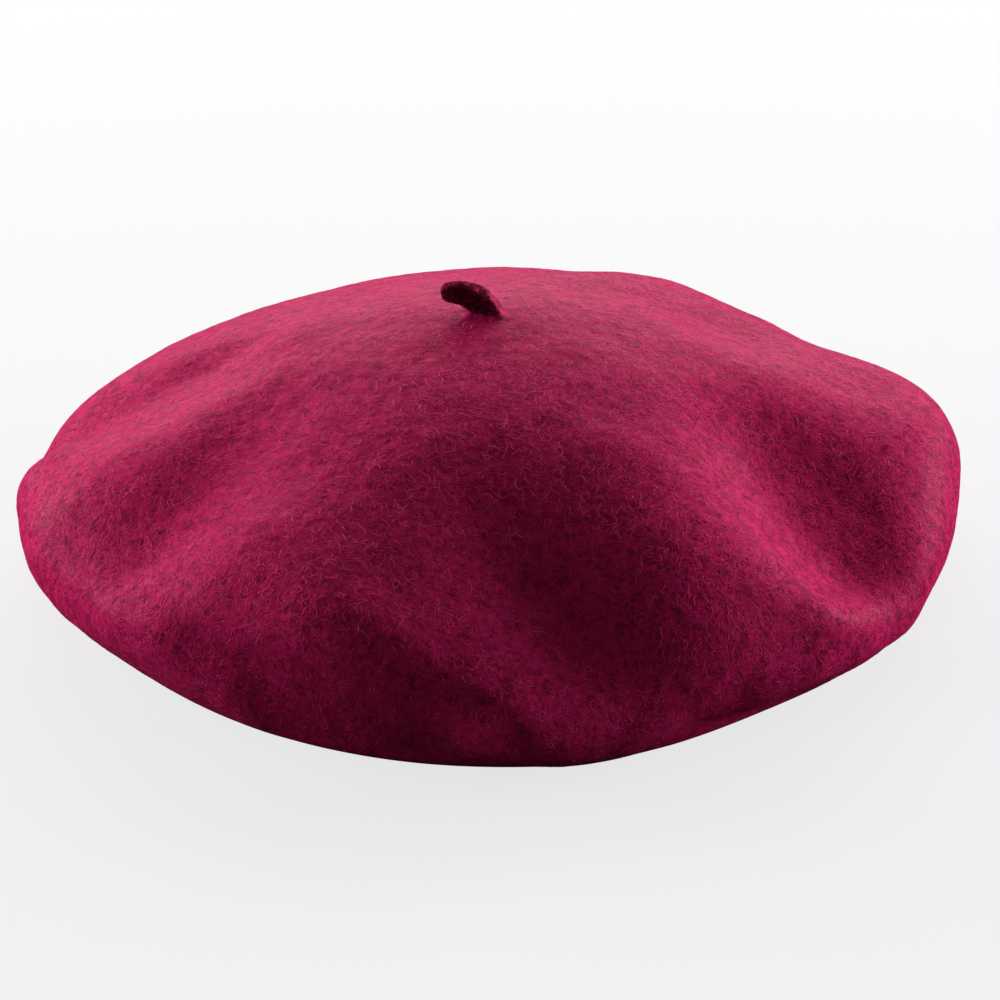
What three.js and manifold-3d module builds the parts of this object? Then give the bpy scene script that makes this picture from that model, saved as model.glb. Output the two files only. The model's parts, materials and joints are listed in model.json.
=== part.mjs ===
// A wool felt beret: one fulled felt body with a curled stalk, a leather sweatband with its
// drawstring, a satin lining in two panels, two woven labels and the threads that hold them.
//
// Millimetres, +Z up. The origin is the centre of the head opening, on the plane that the beret
// rests on. -Y is the front. An angle is measured in degrees from the front towards +X.
import * as THREE from "three";
import { mergeVertices } from "three/addons/utils/BufferGeometryUtils.js";
import Module from "manifold-3d";

// ---- Driving dimensions ----
const HEAD_CIRCUMFERENCE = 570;
const BERET_RADIUS = 131; // the rim, before its waves
const CROWN_HEIGHT = 78.5; // the crown's outside at its middle, above the table
const RIM_HEIGHT = 21; // the widest line of the rim, above the table
const CROWN_OFFSET = 4; // the slumped crown lies this far behind the head opening's centre
const STALK_X = -2; // the stalk, and the crown's middle with it, lie here
const STALK_Y = 12;
const MIDDLE_REACH = 75; // how far from the stalk the felt is drawn along with it
const FELT = 2.4; // thickness of the fulled wool
const LEATHER = 1.0;
const SATIN = 0.5;
const GAP = 0.35; // clearance between two pieces that lie on each other
const ROUND = 72; // segments of a full turn
const FELT_ROUND = 96; // the same, for the felt body, so that its folds come out

// ---- Worked out from them ----
const BAND_INNER = HEAD_CIRCUMFERENCE / (2 * Math.PI);
const BAND_OUTER = BAND_INNER + LEATHER;
const BAND_BOTTOM = 0.6;
const BAND_HEIGHT = 30;
const BAND_TOP = BAND_BOTTOM + BAND_HEIGHT;
const CORD_RADIUS = 0.7;
const CORD_HEIGHT = 14;
const CORD_RING = BAND_OUTER + GAP + CORD_RADIUS;
const HEM_RADIUS = CORD_RING + CORD_RADIUS + GAP; // the face of the turned-in hem towards the head
const HEM_TOP = 20;
const HEM_BEND = 3.2; // outside radius of the hem's fold
const TABLE_RADIUS = 112; // the underside lies flat from here inwards
const STALK_RADIUS = 3.7;
const HOLE_RADIUS = STALK_RADIUS + 0.4; // the crown's middle, where the stalk goes in

// ---- The crown's section: a superellipse from the stalk hole down to the rim ----
const CROWN_REACH_POWER = 1.4;
const CROWN_LIFT_POWER = 1.9;

// Slow waves of the rim: where, how wide (degrees), and how far it goes out and up.
const RIM_WAVES = [
  { angle: 38, width: 12, out: -7, up: 3 },
  { angle: 97, width: 59, out: 5, up: -3 },
  { angle: 151, width: 23, out: -12, up: 4 },
  { angle: 203, width: 45, out: -4, up: -6 },
  { angle: 275, width: 32, out: 9, up: 0 },
  { angle: 332, width: 26, out: -1, up: 10 },
];

// Soft folds of the felt. A fold's line is three points on the felt laid out flat: the angle, and
// the distance from the stalk along the felt. Width is half its breadth, and height is above 0 for
// a ridge and below 0 for a valley.
const FOLDS = [
  { name: "left crest", line: [[269, 147], [271, 106], [253, 55]], width: 11, height: 3.5 },
  { name: "left back valley", line: [[264, 135], [270, 103], [258, 66]], width: 15.5, height: -8.5 },
  { name: "left valley", line: [[293, 145], [302, 109], [288, 63]], width: 16, height: -3 },
  { name: "left flank", line: [[309, 160], [310, 111], [321, 63]], width: 23, height: -3.5 },
  { name: "left groove", line: [[318, 148], [337, 155], [356, 160]], width: 10, height: -5 },
  { name: "front flank", line: [[332, 78], [347, 117], [15, 145]], width: 17, height: -2 },
  { name: "front valley", line: [[0, 76], [7, 112], [23, 150]], width: 28, height: -11 },
  { name: "front lip", line: [[0, 153], [12, 166], [21, 162]], width: 11.5, height: 3.5 },
  { name: "right valley", line: [[74, 80], [58, 113], [58, 146]], width: 23.5, height: -14.5 },
  { name: "right lobe", line: [[114, 91], [108, 137], [87, 128]], width: 19, height: 8.5 },
  { name: "back valley", line: [[122, 68], [115, 96], [116, 139]], width: 19, height: -7.5 },
  { name: "back lobe", line: [[156, 57], [147, 92], [148, 139]], width: 19, height: 3 },
  { name: "under groove", line: [[25, 165], [38, 174], [52, 158]], width: 8, height: -1.5 },
  { name: "right hollow", line: [[73, 101], [70, 122], [59, 141]], width: 15, height: -4.5 },
  { name: "right lip", line: [[46, 137], [51, 145], [59, 149]], width: 9, height: 2.5 },
  { name: "front crease", line: [[2, 149], [8, 158], [14, 153]], width: 8, height: 2.5 },
  { name: "left line", line: [[276, 126], [276, 110], [278, 93]], width: 8, height: -1 },
  { name: "left hollow", line: [[302, 146], [305, 129], [309, 116]], width: 10.5, height: -2 },
  { name: "left roll", line: [[304, 152], [320, 156], [329, 167]], width: 8.5, height: 2.5 },
  { name: "right roll", line: [[68, 162], [51, 161], [35, 160]], width: 8, height: 2.5 },
  { name: "front left swell", line: [[335, 128], [341, 132], [350, 133]], width: 14, height: 2 },
  { name: "front right swell", line: [[22, 116], [25, 131], [27, 141]], width: 12, height: 1 },
];

// ---- Colours ----
const WOOL = new THREE.MeshStandardMaterial({ color: 0x96143f, roughness: 0.95, metalness: 0 });
const HIDE = new THREE.MeshStandardMaterial({ color: 0x2a1512, roughness: 0.5, metalness: 0 });
const LINING = new THREE.MeshStandardMaterial({ color: 0x4d0e22, roughness: 0.35, metalness: 0 });
const COTTON = new THREE.MeshStandardMaterial({ color: 0x1d0b10, roughness: 0.8, metalness: 0 });
const THREAD = new THREE.MeshStandardMaterial({ color: 0x6b1430, roughness: 0.7, metalness: 0 });
const LABEL = new THREE.MeshStandardMaterial({ color: 0xe9e3d8, roughness: 0.7, metalness: 0 });

// ---- Helpers ----
const radians = THREE.MathUtils.degToRad;
const smooth = (from, to, x) => THREE.MathUtils.smoothstep(x, from, to);

// The signed angle from b to a, between -pi and pi.
function turnBetween(a, b) {
  return Math.atan2(Math.sin(a - b), Math.cos(a - b));
}

// A named mesh of one piece.
function piece(name, geometry, material) {
  const mesh = new THREE.Mesh(geometry, material);
  mesh.name = name;
  return mesh;
}

// Turns a closed section, given as [radius, height] pairs, round the Z axis.
function turned(section, segments = ROUND) {
  const points = section.map(([radius, height]) => new THREE.Vector2(radius, height));
  return new THREE.LatheGeometry(points, segments).rotateX(Math.PI / 2);
}

// A closed section made of a sheet's outer line and the same line set in by its thickness.
function sheetSection(outer, inner) {
  return [...outer, ...inner.slice().reverse(), outer[0]];
}

// A thread or cord of round section along a curve.
function cord(curve, radius, steps, sides = 6) {
  const round = new THREE.Shape();
  round.absarc(0, 0, radius, 0, 2 * Math.PI);
  const extrude = { steps, extrudePath: curve, curveSegments: sides / 2 };
  return new THREE.ExtrudeGeometry(round, extrude);
}

// A ring of thread that lies level round the Z axis.
function threadRing(ringRadius, radius, height) {
  return new THREE.TorusGeometry(ringRadius, radius, 5, ROUND).translate(0, 0, height);
}

// A point at an angle and radius, as [x, y].
function around(degrees, radius) {
  return [radius * Math.sin(radians(degrees)), -radius * Math.cos(radians(degrees))];
}

// ---- Solids by boolean ----
const wasm = await Module();
wasm.setup();

function solidOf(geometry) {
  const bare = geometry.clone();
  bare.deleteAttribute("normal");
  bare.deleteAttribute("uv");
  const merged = mergeVertices(bare, 1e-3);
  return new wasm.Manifold(
    new wasm.Mesh({
      numProp: 3,
      vertProperties: merged.attributes.position.array,
      triVerts: new Uint32Array(merged.index.array),
    }),
  );
}

function geometryOf(solid) {
  const mesh = solid.getMesh();
  return new THREE.BufferGeometry()
    .setAttribute("position", new THREE.BufferAttribute(mesh.vertProperties, 3))
    .setIndex(new THREE.BufferAttribute(mesh.triVerts, 1));
}

// ---- The felt body ----

// The rim's radius and height at an angle in radians.
function rimAt(theta) {
  const rim = { radius: BERET_RADIUS, height: RIM_HEIGHT };
  for (const wave of RIM_WAVES) {
    const share = turnBetween(theta, radians(wave.angle)) / radians(wave.width);
    const strength = Math.exp(-share * share);
    rim.radius += wave.out * strength;
    rim.height += wave.up * strength;
  }
  return rim;
}

// The section without folds, as [radius, height]: the crown for a step from 0 to 1, and the
// curved part of the underside from 1 to 2.
function sectionPoint(rim, step) {
  const turn = (step * Math.PI) / 2;
  if (step <= 1) {
    const reach = Math.sin(turn) ** (2 / CROWN_REACH_POWER);
    const lift = Math.max(Math.cos(turn), 0) ** (2 / CROWN_LIFT_POWER);
    return [
      HOLE_RADIUS + (rim.radius - HOLE_RADIUS) * reach,
      rim.height + (CROWN_HEIGHT - rim.height) * lift,
    ];
  }
  const under = turn - Math.PI / 2;
  return [
    rim.radius - (rim.radius - TABLE_RADIUS) * (1 - Math.cos(under)),
    rim.height * (1 - Math.sin(under)),
  ];
}

// Distances from the crown's middle along the felt, measured on a section with no waves.
const LENGTH_STEPS = 400;
const LENGTHS = [HOLE_RADIUS];
for (let i = 1; i <= LENGTH_STEPS; i += 1) {
  const plainRim = { radius: BERET_RADIUS, height: RIM_HEIGHT };
  const [a, b] = [i - 1, i].map((j) => sectionPoint(plainRim, (2 * j) / LENGTH_STEPS));
  LENGTHS.push(LENGTHS[i - 1] + Math.hypot(b[0] - a[0], b[1] - a[1]));
}

// The step of the section at a distance along the felt.
function stepAt(along) {
  let i = 1;
  while (i < LENGTH_STEPS && LENGTHS[i] < along) i += 1;
  const share = (along - LENGTHS[i - 1]) / (LENGTHS[i] - LENGTHS[i - 1]);
  return (2 * (i - 1 + share)) / LENGTH_STEPS;
}

// Each fold is a row of round bumps along its line, close enough to run into one another.
const BUMPS_PER_FOLD = 24;
const BUMPS = FOLDS.flatMap((fold) => {
  const [start, middle, end] = fold.line.map(([degrees, along]) => {
    return new THREE.Vector2(...around(degrees, along));
  });
  const control = middle.clone().multiplyScalar(2).sub(start.clone().add(end).divideScalar(2));
  const curve = new THREE.QuadraticBezierCurve(start, control, end);
  return Array.from({ length: BUMPS_PER_FOLD }, (_, i) => {
    const [from, at, to] = [i, i + 0.5, i + 1].map((j) => curve.getPoint(j / BUMPS_PER_FOLD));
    const spacing = from.distanceTo(to);
    const height = (fold.height * spacing) / (fold.width * Math.sqrt(Math.PI));
    return { at, width: fold.width, height };
  });
});

// How far the folds push the felt out, at an angle and a distance along the felt.
function foldHeight(theta, along) {
  const x = along * Math.sin(theta);
  const y = -along * Math.cos(theta);
  let height = 0;
  for (const bump of BUMPS) {
    const squared = ((x - bump.at.x) ** 2 + (y - bump.at.y) ** 2) / bump.width ** 2;
    height += bump.height * Math.exp(-squared);
  }
  return height;
}

// One side of the felt at an angle, from the stalk hole to the hem's top, set in by depth. A point
// is [radius, height, how far it has slumped to the right, how far back].
function feltLine(theta, depth) {
  const rim = rimAt(theta);
  const line = [];
  const rows = 20;
  for (let i = 0; i <= rows; i += 1) {
    const along = THREE.MathUtils.lerp(HOLE_RADIUS, LENGTHS[LENGTH_STEPS], i / rows);
    const step = stepAt(along);
    const here = sectionPoint(rim, step);
    const before = sectionPoint(rim, Math.max(step - 0.01, 0));
    const after = sectionPoint(rim, Math.min(step + 0.01, 2));
    const tangent = new THREE.Vector2(after[0] - before[0], after[1] - before[1]).normalize();
    const slumped = 1 - smooth(1.5, 2, step); // the table holds the felt flat and in place
    const rooted = smooth(HOLE_RADIUS, 14, along); // the stalk holds the middle
    const outwards = foldHeight(theta, along) * slumped * rooted - depth;
    const holeWall = i === 0 ? 0 : 1; // the hole's wall stays upright
    const drawn = 1 - smooth(0, MIDDLE_REACH, along);
    line.push([
      here[0] - tangent.y * outwards * holeWall,
      here[1] + tangent.x * outwards,
      STALK_X * drawn,
      CROWN_OFFSET * slumped + (STALK_Y - CROWN_OFFSET) * drawn,
    ]);
  }
  const bendSteps = 3;
  for (let i = 0; i <= bendSteps; i += 1) {
    const turn = (i / bendSteps) * (Math.PI / 2);
    line.push([
      HEM_RADIUS + HEM_BEND - (HEM_BEND - depth) * Math.sin(turn),
      HEM_BEND - (HEM_BEND - depth) * Math.cos(turn),
      0,
      0,
    ]);
  }
  line.push([HEM_RADIUS + depth, HEM_TOP, 0, 0]);
  return line;
}

// A round section of the felt, then each of its lines bent to the rim and folds at its angle.
function feltBody() {
  const sectionAt = (theta) => sheetSection(feltLine(theta, 0), feltLine(theta, FELT)).reverse();
  const section = sectionAt(0);
  const felt = new THREE.LatheGeometry(
    section.map(([radius, height]) => new THREE.Vector2(radius, height)),
    FELT_ROUND,
  );
  const position = felt.getAttribute("position");
  for (let i = 0; i <= FELT_ROUND; i += 1) {
    const theta = (i / FELT_ROUND) * 2 * Math.PI;
    sectionAt(theta).forEach(([radius, height, right, back], j) => {
      const x = radius * Math.sin(theta) + right;
      const forwards = radius * Math.cos(theta) - back;
      position.setXYZ(i * section.length + j, x, height, forwards);
    });
  }
  return piece("felt_body", felt.rotateX(Math.PI / 2), WOOL);
}

// ---- The stalk: a round-ended tail whose root is a ball in the crown's hole ----
const STALK_TIP_RADIUS = 2.7;
const STALK_LENGTH = 14.5;
const STALK_LEAN = radians(31); // lean of the root from upright, towards -X
const STALK_CURL = radians(78); // how much further the tip has curled over
const PIVOT_Z = CROWN_HEIGHT + 1.2; // the middle of the root's ball

function stalk() {
  const section = [];
  const endSteps = 4;
  for (let i = 0; i <= endSteps; i += 1) {
    const turn = (i / endSteps) * (Math.PI / 2);
    section.push([STALK_RADIUS * Math.sin(turn), -STALK_RADIUS * Math.cos(turn)]);
  }
  const sideSteps = 7;
  for (let i = 1; i <= sideSteps; i += 1) {
    const share = i / sideSteps;
    const swell = 1 + 0.12 * Math.sin(Math.PI * share);
    const radius = THREE.MathUtils.lerp(STALK_RADIUS, STALK_TIP_RADIUS, share) * swell;
    section.push([radius, share * (STALK_LENGTH - STALK_TIP_RADIUS)]);
  }
  for (let i = 1; i <= endSteps; i += 1) {
    const turn = (i / endSteps) * (Math.PI / 2);
    section.push([
      STALK_TIP_RADIUS * Math.cos(turn),
      STALK_LENGTH - STALK_TIP_RADIUS * (1 - Math.sin(turn)),
    ]);
  }
  const tail = turned(section, 16);
  bendOver(tail, STALK_LENGTH, STALK_CURL);
  tail.rotateY(-STALK_LEAN);
  const mesh = piece("stalk", tail, WOOL);
  mesh.position.set(STALK_X, STALK_Y, PIVOT_Z);
  return mesh;
}

// Bends an upright geometry into an arc of the given angle towards -X, from z = 0 upwards.
function bendOver(geometry, length, angle) {
  const position = geometry.getAttribute("position");
  const arcRadius = length / angle;
  for (let i = 0; i < position.count; i += 1) {
    const height = position.getZ(i);
    if (height <= 0) continue;
    const turn = height / arcRadius;
    const fromCentre = arcRadius + position.getX(i);
    position.setX(i, fromCentre * Math.cos(turn) - arcRadius);
    position.setZ(i, fromCentre * Math.sin(turn));
  }
}

// The knot of thread under the crown that the stalk is sewn down with.
function stalkTack() {
  const halfHeight = 0.9;
  const knot = new THREE.SphereGeometry(1, 16, 8).rotateX(Math.PI / 2).scale(5.2, 5.2, halfHeight);
  const mesh = piece("stalk_tack", knot, THREAD);
  mesh.position.set(STALK_X, STALK_Y, PIVOT_Z - STALK_RADIUS - GAP - halfHeight);
  return mesh;
}

// ---- The sweatband ----
const BAND_JOIN = 0.8; // the butt join at the back
const NOTCH_WIDTH = 7; // the opening in the join, where the cord comes out
const NOTCH_HEIGHT = 4;

function sweatband() {
  const halfJoin = BAND_JOIN / 2 / BAND_INNER;
  const plan = new THREE.Shape();
  plan.absarc(0, 0, BAND_OUTER, Math.PI / 2 + halfJoin, (5 * Math.PI) / 2 - halfJoin);
  plan.absarc(0, 0, BAND_INNER, (5 * Math.PI) / 2 - halfJoin, Math.PI / 2 + halfJoin, true);
  const strip = new THREE.ExtrudeGeometry(plan, {
    depth: BAND_HEIGHT,
    bevelEnabled: false,
    curveSegments: ROUND,
  }).translate(0, 0, BAND_BOTTOM);
  const notch = new THREE.BoxGeometry(NOTCH_WIDTH, 6, NOTCH_HEIGHT);
  notch.translate(0, (BAND_INNER + BAND_OUTER) / 2, CORD_HEIGHT);
  const cut = solidOf(strip).subtract(solidOf(notch));
  return piece("sweatband", geometryOf(cut), HIDE);
}

// The row of stitches along the sweatband's foot, on its face towards the head.
function sweatbandThread() {
  return piece("sweatband_thread", threadRing(BAND_INNER - 0.55, 0.22, 4), THREAD);
}

// The zigzag that closes the butt join above the cord's opening.
function joinThread() {
  const zigzags = 6;
  const low = CORD_HEIGHT + NOTCH_HEIGHT;
  const pitch = (BAND_TOP - 1.5 - low) / zigzags;
  const corners = [];
  for (let i = 0; i <= zigzags; i += 1) {
    corners.push(new THREE.Vector3(i % 2 ? 1.6 : -1.6, BAND_INNER - 0.6, low + i * pitch));
  }
  const line = new THREE.CatmullRomCurve3(corners, false, "catmullrom", 0.1);
  return piece("sweatband_join_thread", cord(line, 0.25, 24), THREAD);
}

// ---- The drawstring ----
// The cord goes once round behind the leather, and both ends turn in through the notch.
function drawstringLoop() {
  const endAngle = 1.3; // where each end leaves the ring, in degrees from the back
  const points = [];
  for (let degrees = 180 + endAngle; degrees < 540 - endAngle; degrees += 5) {
    points.push(new THREE.Vector3(...around(degrees, CORD_RING), CORD_HEIGHT));
  }
  points.push(new THREE.Vector3(...around(540 - endAngle, CORD_RING), CORD_HEIGHT));
  let loop = solidOf(cord(new THREE.CatmullRomCurve3(points), CORD_RADIUS - 0.05, ROUND));
  for (const side of [-1, 1]) {
    const [x, y] = around(180 - side * endAngle, CORD_RING);
    const from = new THREE.Vector3(x, y, CORD_HEIGHT);
    const to = new THREE.Vector3(side * 0.9, BAND_INNER - 1.2, CORD_HEIGHT);
    loop = loop.add(solidOf(cord(new THREE.LineCurve3(from, to), CORD_RADIUS - 0.1, 1)));
  }
  return piece("drawstring_loop", geometryOf(loop), COTTON);
}

// The tied bow: a knot with two loops and two tails, hanging against the leather. Its hinge is the
// knot's centre, and everything else hangs below that.
const BOW_Y = BAND_INNER - 2.9;
const BOW_LOOP = [
  [0, 0],
  [5, -0.4],
  [11.5, -2],
  [14.5, -5.5],
  [10.5, -6.2],
  [5, -3],
];
const BOW_TAIL = [
  [0, 0],
  [2.2, -4],
  [4.4, -7.5],
  [5, -11],
];

function drawstringBow() {
  let bow = solidOf(new THREE.SphereGeometry(1, 12, 8).scale(2.1, 1.3, 1.7));
  for (const side of [-1, 1]) {
    for (const [line, closed, steps] of [[BOW_LOOP, true, 26], [BOW_TAIL, false, 8]]) {
      const points = line.map(([x, z]) => new THREE.Vector3(side * x, 0, z));
      const curve = new THREE.CatmullRomCurve3(points, closed, "centripetal");
      bow = bow.add(solidOf(cord(curve, CORD_RADIUS, steps)));
    }
  }
  const mesh = piece("drawstring_bow", geometryOf(bow), COTTON);
  mesh.position.set(0, BOW_Y, CORD_HEIGHT);
  return mesh;
}

// ---- The lining ----
// The side panel stands up from behind the sweatband, and the tip is the round panel above it.
const SEAM_RADIUS = 80;
const SEAM_HEIGHT = 37.5;
const TIP_HEIGHT = 60;

function liningSide() {
  const hem = BAND_OUTER + GAP;
  const outer = [
    [hem + SATIN, HEM_TOP + 2],
    [hem + SATIN + 0.3, BAND_TOP + 0.9],
    [hem + SATIN - 2.5, BAND_TOP + 2.9],
    [SEAM_RADIUS + 5, BAND_TOP + 5.2],
    [SEAM_RADIUS + 1.4, SEAM_HEIGHT - 0.8],
  ];
  const inner = outer.map(([radius, height], i) => {
    const share = i / (outer.length - 1);
    return [radius - SATIN * (1 - 0.35 * share), height - SATIN * share];
  });
  return piece("lining_side", turned(sheetSection(outer, inner)), LINING);
}

function liningTip() {
  const steps = 6;
  const outer = [];
  for (let i = 0; i <= steps; i += 1) {
    const share = i / steps;
    const radius = SEAM_RADIUS * (1 - share);
    const height = SEAM_HEIGHT + (TIP_HEIGHT - SEAM_HEIGHT) * (1 - (1 - share) ** 2.2);
    outer.push([radius, height]);
  }
  const inner = outer.map(([radius, height]) => [radius, height - SATIN]);
  const section = [...inner.slice().reverse(), ...outer];
  return piece("lining_tip", turned(section), LINING);
}

// The thread of the seam between the two panels.
function liningThread() {
  const ring = threadRing(SEAM_RADIUS + 0.75, 0.22, SEAM_HEIGHT - 0.25);
  return piece("lining_seam_thread", ring, THREAD);
}

// ---- The labels: woven tabs held by their top edge, hanging over the leather ----
const LABEL_THICKNESS = 0.4;
const LABEL_TOP = BAND_TOP + 1;

function label(name, degrees, width, length) {
  const tab = new THREE.BoxGeometry(width, LABEL_THICKNESS, length);
  tab.translate(0, 0, -length / 2);
  const mesh = piece(name, tab, LABEL);
  const flatTo = Math.sqrt((BAND_INNER - 0.2) ** 2 - (width / 2) ** 2); // the chord's distance
  const [x, y] = around(degrees, flatTo - LABEL_THICKNESS / 2 - GAP);
  mesh.position.set(x, y, LABEL_TOP);
  mesh.rotation.z = radians(degrees);
  return mesh;
}

// ---- Assembly ----
const beret = new THREE.Group();
beret.add(feltBody(), stalk(), stalkTack());
beret.add(sweatband(), sweatbandThread(), joinThread());
beret.add(drawstringLoop(), drawstringBow());
beret.add(liningSide(), liningTip(), liningThread());
beret.add(label("size_label", 150, 16, 12), label("care_label", 215, 22, 26));

export default beret;
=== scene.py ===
"""The looks of a wool felt beret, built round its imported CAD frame.

The felt body is the CAD source's fold model on a finer grid, with curled wool fibres lying all
over it. Inside are a leather sweatband with its stitches, a plied drawstring with a bow, a
gathered satin lining and two woven labels.

Lengths are in millimetres until make_mesh turns them into metres. +Z is up, -Y is the front, and
an angle is measured from the front towards +X.
"""
import json
import math

import bpy
import numpy as np
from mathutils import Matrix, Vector


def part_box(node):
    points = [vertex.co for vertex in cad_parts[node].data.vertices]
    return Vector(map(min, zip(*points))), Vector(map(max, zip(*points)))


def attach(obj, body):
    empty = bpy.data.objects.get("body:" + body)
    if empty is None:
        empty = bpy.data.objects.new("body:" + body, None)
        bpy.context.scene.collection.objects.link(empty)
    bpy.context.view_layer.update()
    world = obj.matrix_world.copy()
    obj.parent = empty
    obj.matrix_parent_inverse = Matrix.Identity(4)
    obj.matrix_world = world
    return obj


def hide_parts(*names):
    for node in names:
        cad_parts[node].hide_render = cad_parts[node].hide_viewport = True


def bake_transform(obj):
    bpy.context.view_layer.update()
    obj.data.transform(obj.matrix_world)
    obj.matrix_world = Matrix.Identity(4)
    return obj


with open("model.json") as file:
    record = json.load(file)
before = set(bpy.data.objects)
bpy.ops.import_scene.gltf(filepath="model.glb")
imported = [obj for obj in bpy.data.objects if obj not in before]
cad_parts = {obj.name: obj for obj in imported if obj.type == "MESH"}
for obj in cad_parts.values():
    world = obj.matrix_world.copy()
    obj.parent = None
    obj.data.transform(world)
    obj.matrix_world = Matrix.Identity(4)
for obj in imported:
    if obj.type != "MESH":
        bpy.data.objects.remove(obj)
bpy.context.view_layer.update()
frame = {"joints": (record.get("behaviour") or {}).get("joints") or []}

MM = 0.001

# ---- Sizes, the same as in the CAD source ----
HEAD_CIRCUMFERENCE = 570
BERET_RADIUS = 131
CROWN_HEIGHT = 78.5
RIM_HEIGHT = 21
CROWN_OFFSET = 4
STALK_X, STALK_Y = -2, 12
FELT = 2.4
LEATHER = 1.0
SATIN = 0.5
TABLE_RADIUS = 112
HOLE_RADIUS = 4.1
MIDDLE_REACH = 75
HEM_TOP = 20
HEM_BEND = 3.2
HEM_RADIUS = 93.82
CROWN_REACH_POWER = 1.4
CROWN_LIFT_POWER = 1.9

BAND_INNER = HEAD_CIRCUMFERENCE / (2 * math.pi)
BAND_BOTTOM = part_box("sweatband")[0].z / MM
BAND_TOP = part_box("sweatband")[1].z / MM
CORD_HEIGHT = 14
CORD_RADIUS = 0.7
CORD_RING = BAND_INNER + LEATHER + 0.35 + CORD_RADIUS

# Slow waves of the rim: angle and width in degrees, then how far it goes out and up.
RIM_WAVES = [
    (38, 12, -7, 3),
    (97, 59, 5, -3),
    (151, 23, -12, 4),
    (203, 45, -4, -6),
    (275, 32, 9, 0),
    (332, 26, -1, 10),
]

# Soft folds. Three points on the felt laid out flat, each an angle and a distance from the stalk
# along the felt, then half the fold's breadth, and its height, which is below 0 for a valley.
FOLDS = {
    "left crest": ([(269, 147), (271, 106), (253, 55)], 11, 3.5),
    "left back valley": ([(264, 135), (270, 103), (258, 66)], 15.5, -8.5),
    "left valley": ([(293, 145), (302, 109), (288, 63)], 16, -3),
    "left flank": ([(309, 160), (310, 111), (321, 63)], 23, -3.5),
    "left groove": ([(318, 148), (337, 155), (356, 160)], 10, -5),
    "front flank": ([(332, 78), (347, 117), (15, 145)], 17, -2),
    "front valley": ([(0, 76), (7, 112), (23, 150)], 28, -11),
    "front lip": ([(0, 153), (12, 166), (21, 162)], 11.5, 3.5),
    "right valley": ([(74, 80), (58, 113), (58, 146)], 23.5, -14.5),
    "right lobe": ([(114, 91), (108, 137), (87, 128)], 19, 8.5),
    "back valley": ([(122, 68), (115, 96), (116, 139)], 19, -7.5),
    "back lobe": ([(156, 57), (147, 92), (148, 139)], 19, 3),
    "under groove": ([(25, 165), (38, 174), (52, 158)], 8, -1.5),
    "right hollow": ([(73, 101), (70, 122), (59, 141)], 15, -4.5),
    "right lip": ([(46, 137), (51, 145), (59, 149)], 9, 2.5),
    "front crease": ([(2, 149), (8, 158), (14, 153)], 8, 2.5),
    "left line": ([(276, 126), (276, 110), (278, 93)], 8, -1),
    "left hollow": ([(302, 146), (305, 129), (309, 116)], 10.5, -2),
    "left roll": ([(304, 152), (320, 156), (329, 167)], 8.5, 2.5),
    "right roll": ([(68, 162), (51, 161), (35, 160)], 8, 2.5),
    "front left swell": ([(335, 128), (341, 132), (350, 133)], 14, 2),
    "front right swell": ([(22, 116), (25, 131), (27, 141)], 12, 1),
}


def joint_place(name):
    """Where a joint turns, in millimetres."""
    joint = next(joint for joint in frame["joints"] if joint["name"] == name)
    return np.array(joint["pos_m"]) / MM


# ---- Small maths ----
def smooth(start, end, x):
    """0 before start, 1 after end, and a smooth step in between."""
    share = np.clip((x - start) / (end - start), 0, 1)
    return share * share * (3 - 2 * share)


def unit(vectors):
    return vectors / np.maximum(np.linalg.norm(vectors, axis=-1, keepdims=True), 1e-9)


def around(degrees, radius, height):
    """A point at an angle, radius and height."""
    turn = np.radians(degrees)
    parts = np.broadcast_arrays(radius * np.sin(turn), -radius * np.cos(turn), height)
    return np.stack(parts, axis=-1)


def full_turn(columns):
    """Angles in radians, evenly spaced once round."""
    return np.arange(columns) * 2 * math.pi / columns


def unevenness(points, wavelength, seed):
    """A smooth irregular value at each point, about -1 to 1: plane waves in random directions."""
    waves = 24
    rng = np.random.default_rng(seed)
    directions = unit(rng.normal(size=(waves, 3)))
    phases = rng.uniform(0, 2 * math.pi, waves)
    total = np.zeros(points.shape[:-1])
    for direction, phase in zip(directions, phases):
        total += np.sin(points @ direction * (2 * math.pi / wavelength) + phase)
    return total / math.sqrt(waves)


def curve_through(corners, steps, closed=False):
    """Points evenly spaced in parameter on a smooth curve through the corners (Catmull-Rom)."""
    corners = np.asarray(corners, float)
    count = len(corners)
    spans = count if closed else count - 1
    t = np.linspace(0, spans, steps, endpoint=not closed)
    i = np.minimum(t.astype(int), spans - 1)
    u = (t - i)[:, None]

    def corner(k):
        return corners[k % count] if closed else corners[np.clip(k, 0, count - 1)]

    a, b, c, d = (corner(i + k) for k in (-1, 0, 1, 2))
    return 0.5 * (2 * b + (c - a) * u + (2 * a - 5 * b + 4 * c - d) * u**2
                  + (3 * b - a - 3 * c + d) * u**3)


# ---- Meshes ----
def make_mesh(name, points, faces, material):
    """A smooth-shaded mesh object. faces is a list of index arrays, one row per face."""
    mesh = bpy.data.meshes.new(name)
    corners = np.concatenate([group.ravel() for group in faces]).astype(np.int32)
    sizes = np.concatenate([np.full(len(group), group.shape[1]) for group in faces])
    starts = np.concatenate([[0], np.cumsum(sizes)[:-1]]).astype(np.int32)
    mesh.vertices.add(len(points))
    mesh.vertices.foreach_set("co", (np.asarray(points) * MM).astype(np.float32).ravel())
    mesh.loops.add(len(corners))
    mesh.loops.foreach_set("vertex_index", corners)
    mesh.polygons.add(len(sizes))
    mesh.polygons.foreach_set("loop_start", starts)
    mesh.update(calc_edges=True)
    mesh.shade_smooth()
    mesh.materials.append(material)
    thing = bpy.data.objects.new(name, mesh)
    bpy.context.scene.collection.objects.link(thing)
    return thing


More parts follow.
